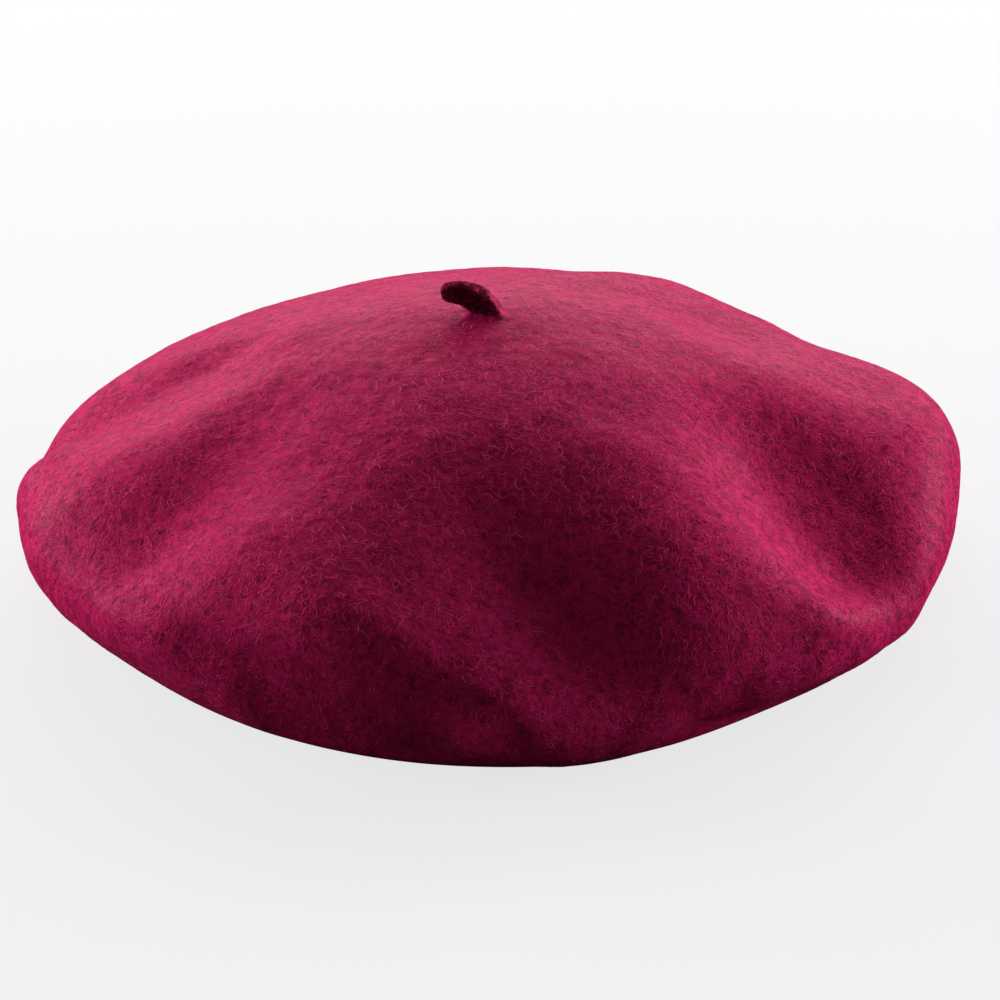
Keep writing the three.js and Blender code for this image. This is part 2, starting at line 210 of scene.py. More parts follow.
def grid_faces(columns, rows, wrap_columns=False, wrap_rows=False):
    """Quads of a grid whose point (column, row) has the index column * rows + row."""
    across = np.arange(columns if wrap_columns else columns - 1)
    up = np.arange(rows if wrap_rows else rows - 1)
    i, j = (part.ravel() for part in np.meshgrid(across, up, indexing="ij"))
    next_i, next_j = (i + 1) % columns, (j + 1) % rows
    corners = [i * rows + j, next_i * rows + j, next_i * rows + next_j, i * rows + next_j]
    return np.stack(corners, axis=-1)


def grid_normals(points, wrap_columns=True):
    """Unit normals of a grid of points."""
    if wrap_columns:
        along_columns = np.roll(points, -1, axis=0) - np.roll(points, 1, axis=0)
    else:
        along_columns = np.gradient(points, axis=0)
    return unit(np.cross(along_columns, np.gradient(points, axis=1)))


def sheet(name, middle, thickness, material, wrap=False, rounding=3):
    """A closed sheet round a grid of points, with edges rounded over the outer grid lines."""
    columns, rows = middle.shape[:2]
    normals = grid_normals(middle, wrap)
    from_end = np.minimum(np.arange(rows), np.arange(rows)[::-1])[None, :]
    from_side = np.minimum(np.arange(columns), np.arange(columns)[::-1])[:, None]
    inwards = np.broadcast_to(from_end if wrap else np.minimum(from_end, from_side),
                              (columns, rows))
    share = np.clip((inwards + 0.35) / rounding, 0, 1)
    half = thickness / 2 * np.sqrt(1 - (1 - share) ** 2)[..., None]
    points = np.concatenate([(middle + normals * half).reshape(-1, 3),
                             (middle - normals * half).reshape(-1, 3)])
    front = grid_faces(columns, rows, wrap)
    back = front[:, ::-1] + columns * rows
    index = np.arange(columns * rows).reshape(columns, rows)
    if wrap:
        edges = [np.append(index[:, 0], index[0, 0]), np.append(index[:, -1], index[0, -1])[::-1]]
    else:
        edges = [index[:, 0], index[-1, :], index[::-1, -1], index[0, ::-1]]
    rims = [np.stack([e[1:], e[:-1], e[:-1] + columns * rows, e[1:] + columns * rows], -1)
            for e in edges]
    return make_mesh(name, points, [front, back, *rims], material)


def tube_points(paths, radii, sides, up, flat):
    """Points of closed tubes along many paths at once. paths is (tubes, steps, 3), and the first
    and last points of a path are the tube's tips. A corner of each ring points up, and flat is a
    ring's height as a share of its breadth."""
    tubes, steps = paths.shape[:2]
    along = unit(np.gradient(paths, axis=1))
    across = unit(np.cross(up, along))
    upright = np.cross(along, across)
    turns = 2 * math.pi * (np.arange(sides) / sides + 0.25)[:, None]
    radii = np.broadcast_to(radii, (tubes, steps))[:, 1:-1, None, None]
    rings = (paths[:, 1:-1, None] + radii * (np.cos(turns) * across[:, 1:-1, None]
                                             + flat * np.sin(turns) * upright[:, 1:-1, None]))
    body = rings.reshape(tubes, -1, 3)
    return np.concatenate([paths[:, :1], body, paths[:, -1:]], axis=1)


def tube_faces(tubes, steps, sides):
    """Faces for tube_points: a fan at each tip and quads between the rings."""
    rings = steps - 2
    per_tube = rings * sides + 2
    side = np.arange(sides)
    beside = (side + 1) % sides
    first = np.stack([np.zeros(sides, int), 1 + beside, 1 + side], axis=-1)
    last_ring = 1 + (rings - 1) * sides
    last = np.stack([np.full(sides, per_tube - 1), last_ring + side, last_ring + beside], axis=-1)
    ring = 1 + np.arange(rings - 1)[:, None] * sides
    walls = np.stack([ring + side, ring + beside, ring + sides + beside, ring + sides + side],
                     axis=-1).reshape(-1, 4)
    offsets = np.arange(tubes)[:, None, None] * per_tube
    return [(group[None] + offsets).reshape(-1, group.shape[1]) for group in (first, last, walls)]


def make_tubes(name, paths, radii, sides, up, material, flat=1.0):
    """One object of closed tubes that all have the same number of steps."""
    tubes, steps = paths.shape[:2]
    points = tube_points(paths, radii, sides, up, flat).reshape(-1, 3)
    return make_mesh(name, points, tube_faces(tubes, steps, sides), material)


def plied(path, radius, up, pitch=3.2):
    """The paths of two strands twisted round each other along one path."""
    along = unit(np.gradient(path, axis=0))
    across = unit(np.cross(along, up))
    upright = np.cross(across, along)
    travel = np.cumsum(np.linalg.norm(np.diff(path, axis=0, prepend=path[:1]), axis=1))
    turn = (2 * math.pi * travel / pitch)[:, None]
    offset = radius * (np.cos(turn) * across + np.sin(turn) * upright)
    return np.stack([path + offset, path - offset])


# ---- Materials ----
class Look:
    """A node material. Each method adds nodes and returns the output that holds the value."""

    def __init__(self, name):
        self.material = bpy.data.materials.new(name)
        self.material.use_nodes = True
        self.tree = self.material.node_tree
        self.tree.nodes.clear()
        self.place = self.node("ShaderNodeTexCoord").outputs["Object"]

    def node(self, kind, inputs=None, **settings):
        """A new node. An input that is another node's output is linked, and others are set."""
        made = self.tree.nodes.new(kind)
        for key, value in settings.items():
            setattr(made, key, value)
        for key, value in (inputs or {}).items():
            if isinstance(value, bpy.types.NodeSocket):
                self.tree.links.new(value, made.inputs[key])
            else:
                made.inputs[key].default_value = value
        return made

    def scaled(self, size, offset=(0, 0, 0)):
        """Object coordinates in units of a size in millimetres."""
        scale = [1 / (part * MM) for part in (size if isinstance(size, tuple) else (size,) * 3)]
        mapping = self.node("ShaderNodeMapping", {"Vector": self.place, "Scale": scale,
                                                  "Location": offset})
        return mapping.outputs["Vector"]

    def noise(self, size, detail=2.0, roughness=0.5, distortion=0.0, offset=(0, 0, 0)):
        """Noise whose lumps are about a size in millimetres."""
        made = self.node("ShaderNodeTexNoise", {
            "Vector": self.scaled(size, offset), "Scale": 1.0, "Detail": detail,
            "Roughness": roughness, "Distortion": distortion})
        return made.outputs["Fac"]

    def maths(self, operation, a, b=0.0):
        """One sum, product or other operation on two values."""
        return self.node("ShaderNodeMath", {0: a, 1: b}, operation=operation).outputs[0]

    def fit(self, value, low, high, to_low=0.0, to_high=1.0):
        """The value's range low to high moved to another range, smoothly and clamped."""
        made = self.node("ShaderNodeMapRange", {
            "Value": value, "From Min": low, "From Max": high, "To Min": to_low,
            "To Max": to_high}, interpolation_type="SMOOTHSTEP")
        return made.outputs["Result"]

    def strands(self, size, breadth, offset):
        """Thin curling lines, 1 on a line and 0 beside it: where a noise passes its middle."""
        value = self.noise(size, detail=0.0, distortion=1.2, offset=offset)
        away = self.maths("ABSOLUTE", self.maths("SUBTRACT", value, 0.5))
        return self.fit(away, 0.0, breadth, 1.0, 0.0)

    def mix(self, a, b, share):
        """A colour between two."""
        made = self.node("ShaderNodeMix", {"Factor": share, 6: a, 7: b}, data_type="RGBA")
        return made.outputs[2]

    def bump(self, height, distance, strength=1.0, under=None):
        """A normal from a height value that stands for a distance in millimetres."""
        inputs = {"Height": height, "Distance": distance * MM, "Strength": strength}
        if under is not None:
            inputs["Normal"] = under
        return self.node("ShaderNodeBump", inputs).outputs["Normal"]

    def finish(self, **inputs):
        """Puts the values on a Principled shader. An input's spaces are written as _."""
        named = {key.replace("_", " "): value for key, value in inputs.items()}
        shader = self.node("ShaderNodeBsdfPrincipled", named)
        self.node("ShaderNodeOutputMaterial", {"Surface": shader.outputs[0]})
        return self.material


def colour(red, green, blue):
    return (red, green, blue, 1.0)


WOOL = colour(0.45, 0.010, 0.084)
# The felt's own deeper tone, which also serves as painted shade in its hollows.
WOOL_DEEP = colour(0.10, 0.004, 0.020)
WOOL_LIGHT = colour(0.56, 0.024, 0.135)
# Near black: painted shade on the stalk's front and underside, and in its hollows.
STALK_SHADE = colour(0.045, 0.001, 0.008)
WOOL_SHEEN = colour(0.8, 0.65, 1.0)


def wool(name, ground_tone, deep_and_shade_tone, strand_tone, painted_front_shade=0.0):
    """Felt: curled strands over darker hollows, which are partly the felt's own mottled tone and
    partly painted shade between the nubs. The hollows and the fine bump are weaker where the felt
    faces up or down, and the last argument is how much painted shade darkens it where it faces front
    or down."""
    look = Look(name)
    normal = look.node("ShaderNodeNewGeometry").outputs["Normal"]
    facing = look.node("ShaderNodeSeparateXYZ", {"Vector": normal}).outputs
    facing_up = facing["Z"]
    # High where the felt faces up or back, towards the lights.
    facing_light = look.maths("ADD", facing_up, look.maths("MULTIPLY", facing["Y"], 0.6))
    # Scales the hollows' painted shade and the fine bump: less where the felt faces up into the
    # light, less where it faces down.
    pit_and_bump_scale = look.maths("MULTIPLY", look.fit(facing_up, 0.8, 1.0, 1.0, 0.7),
                     look.fit(facing_up, -0.5, 0.2, 0.4, 1.0))
    curls = look.strands(4.2, 0.045, (0, 0, 0))
    for size, offset in ((3.2, (7, 3, 1)), (2.4, (2, 9, 5)), (5.5, (5, 1, 8))):
        curls = look.maths("MAXIMUM", curls, look.strands(size, 0.05, offset))
    nubs = look.noise(2.6, detail=2.5, roughness=0.6)
    patches = look.noise(6, detail=3.0)
    raised = look.maths("ADD", nubs, look.maths("MULTIPLY", curls, 0.12))
    # Dark hollows between the nubs: partly the felt's own mottled tone, partly painted shade.
    hollow_and_front_shade = look.maths("MULTIPLY", look.fit(raised, 0.38, 0.60, 0.62, 0.0), pit_and_bump_scale)
    # Painted shade where the felt faces front or down, away from the lights behind it.
    hollow_and_front_shade = look.maths("MAXIMUM", hollow_and_front_shade, look.fit(facing_light, 0.1, 0.8, painted_front_shade, 0.0))
    ground = look.mix(ground_tone, deep_and_shade_tone, hollow_and_front_shade)
    ground = look.mix(ground, deep_and_shade_tone, look.fit(patches, 0.42, 0.72, 0.0, 0.32))
    lit = look.maths("MULTIPLY", curls, look.fit(look.noise(2.0), 0.4, 0.7, 0.1, 0.75))
    shown = look.mix(ground, strand_tone, lit)
    height = look.maths("ADD", look.maths("MULTIPLY", nubs, 0.7), look.maths("MULTIPLY", curls, 0.4))
    bumped = look.bump(look.noise(4.5, detail=2.0), 0.6, 0.65)
    bumped = look.bump(height, 0.3, look.maths("MULTIPLY", pit_and_bump_scale, 0.5), under=bumped)
    return look.finish(Base_Color=shown, Roughness=0.36, Specular_IOR_Level=0.008,
                       Specular_Tint=WOOL_SHEEN, Normal=bumped)


def fibre(name, tone):
    """Plain tone, because a fibre is finer than any pattern on it."""
    look = Look(name)
    return look.finish(Base_Color=tone, Roughness=0.42, Specular_IOR_Level=0.016,
                       Specular_Tint=WOOL_SHEEN)


def leather():
    """Dark brown hide with pebbled grain, creases and wear."""
    look = Look("band_leather")
    pebbles = look.node("ShaderNodeTexVoronoi", {"Vector": look.scaled(1.1), "Scale": 1.0},
                        feature="SMOOTH_F1").outputs["Distance"]
    creases = look.noise(5, detail=6.0, roughness=0.7, distortion=1.5)
    wear = look.fit(look.noise(18, detail=4.0), 0.4, 0.75)
    tone = look.mix(colour(0.022, 0.008, 0.006), colour(0.060, 0.024, 0.016), wear)
    tone = look.mix(tone, colour(0.010, 0.004, 0.003), look.fit(pebbles, 0.55, 0.85, 0.0, 0.7))
    normal = look.bump(creases, 0.25, 0.4)
    normal = look.bump(look.maths("MULTIPLY", pebbles, -1.0), 0.16, 0.8, under=normal)
    shine = look.fit(look.noise(9, detail=3.0), 0.3, 0.7, 0.42, 0.6)
    return look.finish(Base_Color=tone, Roughness=shine, Specular_IOR_Level=0.5, Normal=normal)


def satin():
    """A fine warp with slubs, and gloss along the threads."""
    look = Look("satin_lining")
    warp = look.node("ShaderNodeTexWave", {"Vector": look.scaled(0.5), "Scale": 1.0,
                                           "Distortion": 0.6, "Detail": 1.0}).outputs["Fac"]
    slubs = look.noise((8, 8, 0.6), detail=3.0)
    tone = look.mix(colour(0.075, 0.010, 0.022), colour(0.14, 0.020, 0.042),
                    look.fit(slubs, 0.35, 0.65))
    normal = look.bump(warp, 0.03, 0.35)
    normal = look.bump(look.noise(7, detail=3.0), 0.4, 0.3, under=normal)
    return look.finish(Base_Color=tone, Roughness=0.32, Specular_IOR_Level=0.6,
                       Anisotropic=0.6, Normal=normal, Sheen_Weight=0.3,
                       Sheen_Tint=colour(1.0, 0.55, 0.65))


def twisted_yarn(name, dark, light, size):
    """Cotton or sewing thread: fine filaments with some fuzz."""
    look = Look(name)
    filaments = look.noise(size, detail=3.0, roughness=0.6, distortion=0.8)
    tone = look.mix(dark, light, look.fit(filaments, 0.35, 0.65))
    normal = look.bump(filaments, size * 0.4, 0.7)
    return look.finish(Base_Color=tone, Roughness=0.8, Normal=normal, Sheen_Weight=0.3)


def woven(name, warp_tone, weft_tone):
    """A label's weave: warp and weft threads crossing at 0.45 mm."""
    look = Look(name)
    pitch = 0.45
    threads = [look.node("ShaderNodeTexWave", {"Vector": look.scaled(pitch * 3), "Scale": 1.0,
                                               "Distortion": 0.3}, bands_direction=axis)
               for axis in ("X", "Z")]
    warp, weft = (thread.outputs["Fac"] for thread in threads)
    crossing = look.maths("MAXIMUM", warp, weft)
    tone = look.mix(weft_tone, warp_tone, look.fit(crossing, 0.5, 1.0))
    stains = look.fit(look.noise(6, detail=3.0), 0.3, 0.7, 0.0, 0.25)
    tone = look.mix(tone, weft_tone, stains)
    return look.finish(Base_Color=tone, Roughness=0.6, Normal=look.bump(crossing, 0.08, 0.7),
                       Sheen_Weight=0.2)


# ---- The felt body ----
def rim_at(theta):
    """The rim's radius and height at angles in radians."""
    radius = np.full_like(theta, BERET_RADIUS, dtype=float)
    height = np.full_like(theta, RIM_HEIGHT, dtype=float)
    for degrees, width, out, rise in RIM_WAVES:
        turn = theta - math.radians(degrees)
        away = np.arctan2(np.sin(turn), np.cos(turn)) / math.radians(width)
        strength = np.exp(-away * away)
        radius += out * strength
        height += rise * strength
    return radius, height


def section_point(rim, step):
    """Radius and height of the plain section: the crown for a step from 0 to 1, and the curved
    part of the underside from 1 to 2."""
    rim_radius, rim_height = rim
    turn = np.clip(step, 0, 1) * math.pi / 2
    reach = np.sin(turn) ** (2 / CROWN_REACH_POWER)
    lift = np.maximum(np.cos(turn), 0) ** (2 / CROWN_LIFT_POWER)
    under = np.clip(step - 1, 0, 1) * math.pi / 2
    radius = np.where(step <= 1, HOLE_RADIUS + (rim_radius - HOLE_RADIUS) * reach,
                      rim_radius - (rim_radius - TABLE_RADIUS) * (1 - np.cos(under)))
    height = np.where(step <= 1, rim_height + (CROWN_HEIGHT - rim_height) * lift,
                      rim_height * (1 - np.sin(under)))
    return radius, height


STEPS = np.linspace(0, 2, 401)
PLAIN_SECTION = np.stack(section_point((BERET_RADIUS, RIM_HEIGHT), STEPS), axis=-1)
PIECES = np.linalg.norm(np.diff(PLAIN_SECTION, axis=0), axis=1)
LENGTHS = HOLE_RADIUS + np.concatenate([[0], np.cumsum(PIECES)])  # along the felt, at each step


BUMPS_PER_FOLD = 24


def fold_bumps():
    """Each fold as a row of round bumps: their places on the flat felt, widths and heights."""
    share = (np.arange(BUMPS_PER_FOLD)[:, None] + 0.5) / BUMPS_PER_FOLD
    for line, width, height in FOLDS.values():
        start, middle, end = (around(degrees, along, 0)[:2] for degrees, along in line)
        control = 2 * middle - (start + end) / 2

        def on_curve(t):
            return (1 - t) ** 2 * start + 2 * t * (1 - t) * control + t**2 * end

        ends = on_curve(np.arange(BUMPS_PER_FOLD + 1)[:, None] / BUMPS_PER_FOLD)
        spacing = np.linalg.norm(np.diff(ends, axis=0), axis=1)
        yield on_curve(share), width, height * spacing / (width * math.sqrt(math.pi))


def fold_height(theta, along):
    """How far the folds push the felt out, at an angle and a distance along the felt."""
    x, y = along * np.sin(theta), -along * np.cos(theta)
    total = np.zeros_like(x)
    for places, width, heights in fold_bumps():
        for (bump_x, bump_y), height in zip(places, heights):
            total += height * np.exp(-((x - bump_x) ** 2 + (y - bump_y) ** 2) / width**2)
    return total


def felt_side(theta, along, depth):
    """Points of the felt's shell, set in by a depth from its outside."""
    step = np.interp(along, LENGTHS, STEPS)
    rim = rim_at(theta)
    radius, height = section_point(rim, step)
    before = section_point(rim, np.clip(step - 0.01, 0, 2))
    after = section_point(rim, np.clip(step + 0.01, 0, 2))
    tangent = unit(np.stack([after[0] - before[0], after[1] - before[1]], axis=-1))
    slumped = 1 - smooth(1.5, 2, step)
    rooted = smooth(HOLE_RADIUS, 14, along)
    outwards = fold_height(theta, along) * slumped * rooted - depth
    radius = np.maximum(radius - tangent[..., 1] * outwards, HOLE_RADIUS)
    height = height + tangent[..., 0] * outwards
    points = around(np.degrees(theta), radius, height)
    drawn = 1 - smooth(0, MIDDLE_REACH, along)
    points[..., 0] += STALK_X * drawn
    points[..., 1] += CROWN_OFFSET * slumped + (STALK_Y - CROWN_OFFSET) * drawn
    return points


FELT_TURN = full_turn(480)
SHELL_ALONG = np.linspace(HOLE_RADIUS, LENGTHS[-1], 150)  # rows of the felt's outside
LINED_ALONG = np.linspace(HOLE_RADIUS, LENGTHS[-1], 38)  # rows of its inside, which are fewer


EDGE_ROUNDING = 0.6  # of the hem's raw edge


def turned_line(line, theta):
    """A line of (radius, height) pairs turned round the Z axis, as a grid."""
    radius, height = np.asarray(line, float).T
    return around(np.degrees(theta)[:, None], radius[None, :], height[None, :])


def hem_line(depth, steps, edge):
    """The hem's fold under and its wall up to the raw edge, for one face of the felt."""
    turn = np.linspace(0, math.pi / 2, steps)
    bend = HEM_BEND - depth
    fold = np.stack([HEM_RADIUS + HEM_BEND - bend * np.sin(turn),
                     HEM_BEND - bend * np.cos(turn)], axis=-1)
    wall_heights = np.linspace(HEM_BEND, HEM_TOP - 0.8, steps + 2)[1:]
    wall = np.stack([np.full(len(wall_heights), HEM_RADIUS + depth), wall_heights], axis=-1)
    top = [(HEM_RADIUS + edge, HEM_TOP)]
    return np.concatenate([fold, wall, top])


def felt_outside():
    """The grid of the felt's outside from the stalk to the table, with slight random lumps."""
    grid_theta, grid_along = np.meshgrid(FELT_TURN, SHELL_ALONG, indexing="ij")
    shell = felt_side(grid_theta, grid_along, 0)
    step = np.interp(grid_along, LENGTHS, STEPS)
    loose = (1 - smooth(1.4, 1.9, step)) * smooth(HOLE_RADIUS, 25, grid_along)
    lumps = (0.16 * unevenness(shell, 34, 1) + 0.08 * unevenness(shell, 15, 2)
             + 0.05 * unevenness(shell, 6, 3))
    normals = -grid_normals(shell)
    return shell + normals * (lumps * loose)[..., None]


def felt_body(shell, material):
    """The whole shell: its outside, the hem's two faces up to the raw edge, and its inside."""
    lined = felt_side(*np.meshgrid(FELT_TURN, LINED_ALONG, indexing="ij"), FELT)
    outer_hem = turned_line(hem_line(0, 5, EDGE_ROUNDING), FELT_TURN)
    inner_hem = turned_line(hem_line(FELT, 3, FELT - EDGE_ROUNDING), FELT_TURN)
    points = np.concatenate([shell, outer_hem, inner_hem[:, ::-1], lined[:, ::-1]], axis=1)
    columns, rows = points.shape[:2]
    faces = grid_faces(columns, rows, wrap_columns=True, wrap_rows=True)[:, ::-1]
    felt = make_mesh("felt", points.reshape(-1, 3), [faces], material)
    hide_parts("felt_body")
    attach(felt, "hat")


# ---- Fibres ----
class Surface:
    """A grid of points that fibres lie on, wrapped in its columns."""

    def __init__(self, points, normals):
        self.points, self.normals = points, normals
        self.columns, self.rows = points.shape[:2]
        self.column_step = np.linalg.norm(np.roll(points, -1, axis=0) - points, axis=-1)
        self.row_step = np.linalg.norm(np.gradient(points, axis=1), axis=-1)
        areas = (self.column_step * self.row_step)[:, :-1]
        self.area_sums = np.cumsum(areas.ravel() / areas.sum())

    def scatter(self, count, rng):
        """Places spread evenly over the surface, as fractional columns and rows."""
        cell = np.searchsorted(self.area_sums, rng.uniform(0, 1, count))
        cell = np.minimum(cell, self.columns * (self.rows - 1) - 1)
        column, row = np.divmod(cell, self.rows - 1)
        return column + rng.uniform(0, 1, count), row + rng.uniform(0, 1, count)

    def at(self, values, column, row):
        """A grid's values between its points."""
        row = np.clip(row, 0, self.rows - 1.001)
        i, j = np.floor(column).astype(int), np.floor(row).astype(int)
        u, v = column - i, row - j
        if values.ndim == 3:
            u, v = u[..., None], v[..., None]
        i, k = i % self.columns, (i + 1) % self.columns
        low = values[i, j] * (1 - u) + values[k, j] * u
        high = values[i, j + 1] * (1 - u) + values[k, j + 1] * u
        return low * (1 - v) + high * v


def curled_paths(surface, rng, count, steps, lengths, curls, lifts, free):
    """Paths that curl over a surface. lengths, curls and lifts are (least, most) ranges; a free
    fibre stands off at its far end, and others go back down into the felt."""
    column, row = surface.scatter(count, rng)
    heading = rng.uniform(0, 2 * math.pi, count)
    length = rng.uniform(*lengths, count)
    curl = rng.uniform(*curls, count) * rng.choice([-1, 1], count)
    sway = rng.uniform(-1.2, 1.2, count)
    facing_up = surface.at(surface.normals, column, row)[:, 2]
    lift = rng.uniform(*lifts, count) * (1 - 0.5 * smooth(0.7, 0.97, facing_up))
    points, normals = [], []
    for k in range(steps):
        share = k / (steps - 1)
        normal = unit(surface.at(surface.normals, column, row))
        stand = share**1.3 if free else math.sin(math.pi * share)
        place = surface.at(surface.points, column, row)
        points.append(place + normal * (lift * stand)[:, None])
        normals.append(normal)
        turn = heading + curl * share + sway * math.sin(2 * math.pi * share)
        stride = length / (steps - 1)
        column = column + stride * np.cos(turn) / surface.at(surface.column_step, column, row)
        row = row + stride * np.sin(turn) / surface.at(surface.row_step, column, row)
    return np.stack(points, axis=1), np.stack(normals, axis=1)


FIBRE_FLAT = 0.15  # a fibre's thickness as a share of its breadth: it lies pressed into the felt

FUZZ_REACH = 172  # distance along the felt to where it lies on the table
FREE_FUZZ = "fuzz_loose"  # its fibres stand off the felt at their far ends
FUZZ = [
    # name, seed, colour, count, steps, lengths, curls, lifts, radius
    ("fuzz_deep", 11, colour(0.21, 0.004, 0.037), 7000, 4, (1, 2.5), (0.2, 1.5), (0, 0.03), 0.19),
    ("fuzz_body", 12, colour(0.46, 0.010, 0.086), 8000, 5, (1.5, 4), (0.5, 2.2), (0, 0.05), 0.16),
    ("fuzz_rose", 13, colour(0.525, 0.016, 0.107), 8000, 5, (1.5, 4), (0.5, 2.4), (0, 0.06), 0.16),
    ("fuzz_pink", 14, colour(0.59, 0.026, 0.138), 6500, 5, (2, 5), (0.5, 2.6), (0, 0.07), 0.145),
    ("fuzz_long", 15, colour(0.64, 0.034, 0.158), 1600, 11, (3, 8), (0.8, 3.2), (0, 0.16), 0.11),
    ("fuzz_loose", 16, colour(0.53, 0.015, 0.11), 2500, 5, (1, 2.4), (0.3, 2), (0.2, 0.6), 0.045),
    ("fuzz_pale", 17, colour(0.66, 0.16, 0.28), 90, 13, (3, 7), (0.8, 3), (0, 0.4), 0.055),
]


def felt_fuzz(shell):
    """Curled wool fibres over the outside of the felt, down to where it lies on the table."""
    rows = np.searchsorted(SHELL_ALONG, FUZZ_REACH)
    surface = Surface(shell[:, 2:rows], -grid_normals(shell)[:, 2:rows])
    for name, seed, tone, count, steps, lengths, curls, lifts, radius in FUZZ:
        rng = np.random.default_rng(seed)
        free = name == FREE_FUZZ
        paths, normals = curled_paths(surface, rng, count, steps, lengths, curls, lifts, free)
        taper = np.sin(np.linspace(0.25, math.pi - 0.25, steps)) ** 0.5
        hairs = make_tubes(name, paths, radius * taper, 3, normals, fibre(name, tone), FIBRE_FLAT)
        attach(hairs, "hat")


# ---- The stalk ----
STALK_LENGTH = 14.5
STALK_LEAN = math.radians(31)
STALK_CURL = math.radians(78)
STALK_BEND = (-0.9, 2.5)  # heights from its pivot about the hinge; stalk() works out points at them but does not use them
STALK_SINK = 0.35  # how far its skirt is pressed into the crown
STALK_FUZZ_ROWS = slice(16, -3)  # its rings between the root, which bends, and the round tip


def stalk_grid(columns=40):
    """Rings of the stalk from its skirt on the crown to its tip, bent over towards -X."""
    # Each point is a height along the stalk and a radius.
    profile = curve_through([(-1.3, 9.5), (-0.8, 7.2), (-0.1, 5.4), (1.4, 4.4), (4, 3.95),
                             (7, 3.7), (10, 3.3), (12.4, 2.85), (13.9, 2.1), (14.4, 1.2),
                             (14.5, 0.35)], 48)
    turn = full_turn(columns)
    heights, radii = profile.T
    puckers = 1 + 0.06 * np.exp(-np.maximum(heights, 0) / 2.5)[None, :] * np.sin(7 * turn)[:, None]
    oval = 1 - 0.07 * np.cos(2 * turn)[:, None]
    x = radii * np.cos(turn)[:, None] * puckers * oval
    y = radii * np.sin(turn)[:, None] * puckers * (2 - oval)
    z = np.broadcast_to(heights, x.shape)
    arc = STALK_LENGTH / STALK_CURL
    bent = np.maximum(z, 0) / arc
    bent_x = (arc + x) * np.cos(bent) - arc
    bent_z = (arc + x) * np.sin(bent) + np.minimum(z, 0)
    grow = smooth(-0.8, 3, z)
    lean = STALK_LEAN * grow
    leant_x = bent_x * np.cos(lean) - bent_z * np.sin(lean)
    leant_z = bent_x * np.sin(lean) + bent_z * np.cos(lean)
    points = np.stack([leant_x, y, leant_z], axis=-1)
    points += joint_place("stalk_lean") - (0, 0, STALK_SINK)
    return points + unit(grid_normals(points)) * (0.14 * unevenness(points, 5, 21)
                                                  * smooth(0, 3, z))[..., None]


def stalk(grid, material):
    columns, rows = grid.shape[:2]
    foot, tip = grid[:, 0].mean(axis=0) + (0, 0, -1.2), grid[:, -1].mean(axis=0)
    points = np.concatenate([grid.reshape(-1, 3), [foot, tip]])
    first = np.arange(columns) * rows
    following = np.roll(first, -1)
    last = rows - 1
    foot_fan = np.stack([np.full(columns, columns * rows), following, first], axis=-1)
    tip_fan = np.stack([np.full(columns, columns * rows + 1), first + last, following + last], -1)
    tail = make_mesh("stalk_felt", points, [grid_faces(columns, rows, True), foot_fan, tip_fan],
                     material)
    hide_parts("stalk")
    pivot_z = joint_place("stalk_lean")[2]
    low, high = ((0, 0, (pivot_z + height) * MM) for height in STALK_BEND)
    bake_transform(tail)
    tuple(low)
    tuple(high)


def stalk_fuzz(grid):
    """Short fibres over the part of the stalk that stays straight when its root bends."""
    surface = Surface(grid[:, STALK_FUZZ_ROWS], grid_normals(grid)[:, STALK_FUZZ_ROWS])
    # The near-black fibres are painted shade on the stalk, far darker than its felt; the pink ones
    # have the felt's own tone.
    for name, seed, tone, count in (("stalk_fuzz", 31, colour(0.12, 0.003, 0.022), 700),
                                    ("stalk_fuzz_pink", 32, colour(0.50, 0.02, 0.11), 220)):
        rng = np.random.default_rng(seed)
        paths, ups = curled_paths(surface, rng, count, 5, (1, 3), (0.5, 3), (0.1, 0.35), False)
        hairs = make_tubes(name, paths, 0.06, 3, ups, fibre(name, tone))
        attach(hairs, "stalk")


# ---- Threads ----
def stitches(name, starts, ends, inwards, material, body, sink=0.4, arch=0.35, radius=0.2):
    """Short stitches, each an arched thread whose two ends go down into the piece. starts and
    ends lie on the piece's face, and inwards points off it."""
    share = np.linspace(0, 1, 9)[None, :, None]
    rise = arch - (arch + sink) * (2 * share - 1) ** 4
    inwards = np.broadcast_to(inwards, starts.shape)[:, None, :]
    paths = starts[:, None] * (1 - share) + ends[:, None] * share + inwards * rise
    ups = np.broadcast_to(inwards, paths.shape)
    row = make_tubes(name, paths, radius, 6, ups, material)
    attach(row, body)
    return row


def ring_of_stitches(name, radius, height, pitch, material, slant=0.0):
    """A row of stitches round the Z axis that faces the head."""
    count = round(2 * math.pi * radius / pitch)
    angles = 180 + (np.arange(count) + 0.5) * 360 / count
    half = 0.4 * 360 / count
    starts = around(angles - half, radius, height - slant)
    ends = around(angles + half, radius, height + slant)
    return stitches(name, starts, ends, around(angles, -1, 0), material, "hat")


# ---- The sweatband ----
NOTCH_HALF_WIDTH = 3.5
NOTCH_HALF_HEIGHT = 2
JOIN_HALF_WIDTH = 0.4
FOOT_SEAM = 4  # height of the stitches that hold the band to the hem
FOOT_PITCH = 4.2


